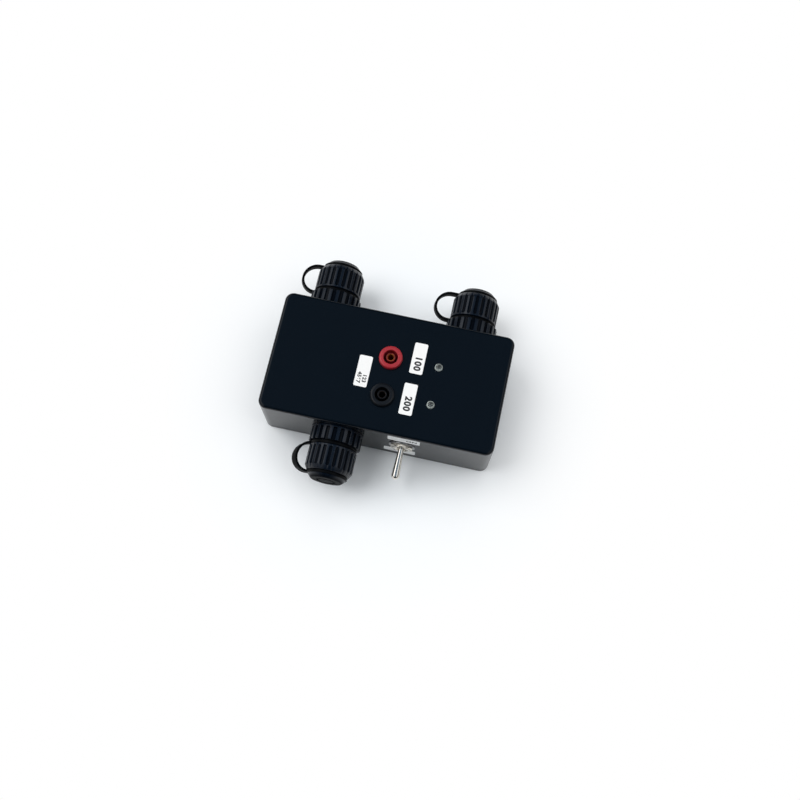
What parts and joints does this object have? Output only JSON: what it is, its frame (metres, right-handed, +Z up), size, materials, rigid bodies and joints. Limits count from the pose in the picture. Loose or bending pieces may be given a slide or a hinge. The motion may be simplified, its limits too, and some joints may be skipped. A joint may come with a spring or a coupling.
{
  "type": "junction box",
  "caption": "Low black plastic battery junction box with round capped cable sockets on its long sides, red and black 4 mm jacks, clear lamps and a toggle switch.",
  "frame": {"origin": "centre of the cover's underside, on the surface that the box lies on", "axes": "+X along the long side, +Y to the side with the pair of sockets, +Z up through the face with the jacks"},
  "size_m": [0.15, 0.1448, 0.049],
  "materials": {
    "box_plastic": "satin",
    "black_plastic": "satin",
    "strap_plastic": "satin",
    "seal_rubber": "matte",
    "insert_plastic": "gloss",
    "red_plastic": "gloss",
    "jack_black": "gloss",
    "brass": "bright",
    "nickel": "polished",
    "steel": "satin",
    "lamp_clear": "clear",
    "board": "satin",
    "switch_plastic": "satin",
    "label_tape": "satin",
    "red_sleeve": "satin",
    "black_sleeve": "satin"
  },
  "bodies": {
    "box": {"enclosure_tub": "box_plastic", "bottom_cover": "box_plastic", "cover_screws": "steel", "front_socket_shell": "black_plastic", "front_panel_gasket": "seal_rubber", "front_clamp_ring": "black_plastic", "front_contact_insert": "insert_plastic", "front_contacts": "brass", "front_cap_strap": "strap_plastic", "back_left_socket_shell": "black_plastic", "back_left_panel_gasket": "seal_rubber", "back_left_clamp_ring": "black_plastic", "back_left_contact_insert": "insert_plastic", "back_left_contacts": "brass", "back_left_cap_strap": "strap_plastic", "back_right_socket_shell": "black_plastic", "back_right_panel_gasket": "seal_rubber", "back_right_clamp_ring": "black_plastic", "back_right_contact_insert": "insert_plastic", "back_right_contacts": "brass", "back_right_cap_strap": "strap_plastic", "red_jack_body": "red_plastic", "red_jack_contact": "brass", "red_jack_nut": "nickel", "black_jack_body": "jack_black", "black_jack_contact": "brass", "black_jack_nut": "nickel", "upper_lamp": "lamp_clear", "lower_lamp": "lamp_clear", "lamp_legs": "steel", "lamp_board": "board", "board_resistors": "insert_plastic", "switch_bushing": "nickel", "switch_case": "switch_plastic", "switch_terminals": "steel", "switch_lock_washer": "steel", "switch_nut": "nickel", "left_label": "label_tape", "upper_label": "label_tape", "lower_label": "label_tape", "on_label": "label_tape", "off_label": "label_tape", "red_wires": "red_sleeve", "black_wires": "black_sleeve"},
    "front_seal": {"front_cap_seal": "seal_rubber"},
    "front_cap": {"front_cap": "black_plastic"},
    "back_left_seal": {"back_left_cap_seal": "seal_rubber"},
    "back_left_cap": {"back_left_cap": "black_plastic"},
    "back_right_seal": {"back_right_cap_seal": "seal_rubber"},
    "back_right_cap": {"back_right_cap": "black_plastic"},
    "switch_lever": {"switch_lever": "nickel"}
  },
  "joints": [
    {"name": "switch_toggle", "type": "hinge", "parent": "box", "child": "switch_lever", "pos_m": [0.018, -0.0375, 0.0245], "axis": [-1, 0, 0], "range_deg": [0, 24]},
    {"name": "front_cap_slide", "type": "slide", "parent": "box", "child": "front_seal", "axis": [0, -1, 0], "range_m": [0, 0.01], "deforming": ["front_cap_strap"]},
    {"name": "front_cap_turn", "type": "hinge", "parent": "front_seal", "child": "front_cap", "pos_m": [-0.024, -0.06, 0.0245], "axis": [0, -1, 0], "range_deg": [0, 1440]},
    {"name": "back_left_cap_slide", "type": "slide", "parent": "box", "child": "back_left_seal", "axis": [0, 1, 0], "range_m": [0, 0.01], "deforming": ["back_left_cap_strap"]},
    {"name": "back_left_cap_turn", "type": "hinge", "parent": "back_left_seal", "child": "back_left_cap", "pos_m": [-0.0458, 0.06, 0.0245], "axis": [0, 1, 0], "range_deg": [0, 1440]},
    {"name": "back_right_cap_slide", "type": "slide", "parent": "box", "child": "back_right_seal", "axis": [0, 1, 0], "range_m": [0, 0.01], "deforming": ["back_right_cap_strap"]},
    {"name": "back_right_cap_turn", "type": "hinge", "parent": "back_right_seal", "child": "back_right_cap", "pos_m": [0.0458, 0.06, 0.0245], "axis": [0, 1, 0], "range_deg": [0, 1440]}
  ],
  "couplings": [
    {"joint": "front_cap_slide", "follows": "front_cap_turn", "m_per_rad": 0.00039789},
    {"joint": "back_left_cap_slide", "follows": "back_left_cap_turn", "m_per_rad": 0.00039789},
    {"joint": "back_right_cap_slide", "follows": "back_right_cap_turn", "m_per_rad": 0.00039789}
  ]
}
